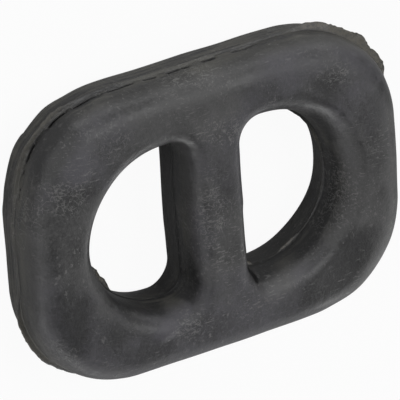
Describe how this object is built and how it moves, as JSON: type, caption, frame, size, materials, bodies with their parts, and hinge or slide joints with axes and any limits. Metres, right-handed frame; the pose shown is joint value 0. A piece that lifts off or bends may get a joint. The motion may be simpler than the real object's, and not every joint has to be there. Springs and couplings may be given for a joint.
{
  "type": "exhaust hanger rubber",
  "caption": "Moulded rubber ring with a bar across its middle and an eye on each side, which hangs a vehicle's exhaust pipe from rods on the body.",
  "frame": {"origin": "middle of the bar, on the surface that the back face rests on", "axes": "+X across both eyes, along the longest side; +Y along the bar; +Z through the thickness, out of the front face"},
  "size_m": [0.0658, 0.0476, 0.013],
  "materials": {
    "black_rubber": "matt moulded rubber, dusty, with trim marks along the mould joint"
  },
  "bodies": {
    "root": {"hanger_rubber": "black_rubber"}
  },
  "joints": []
}
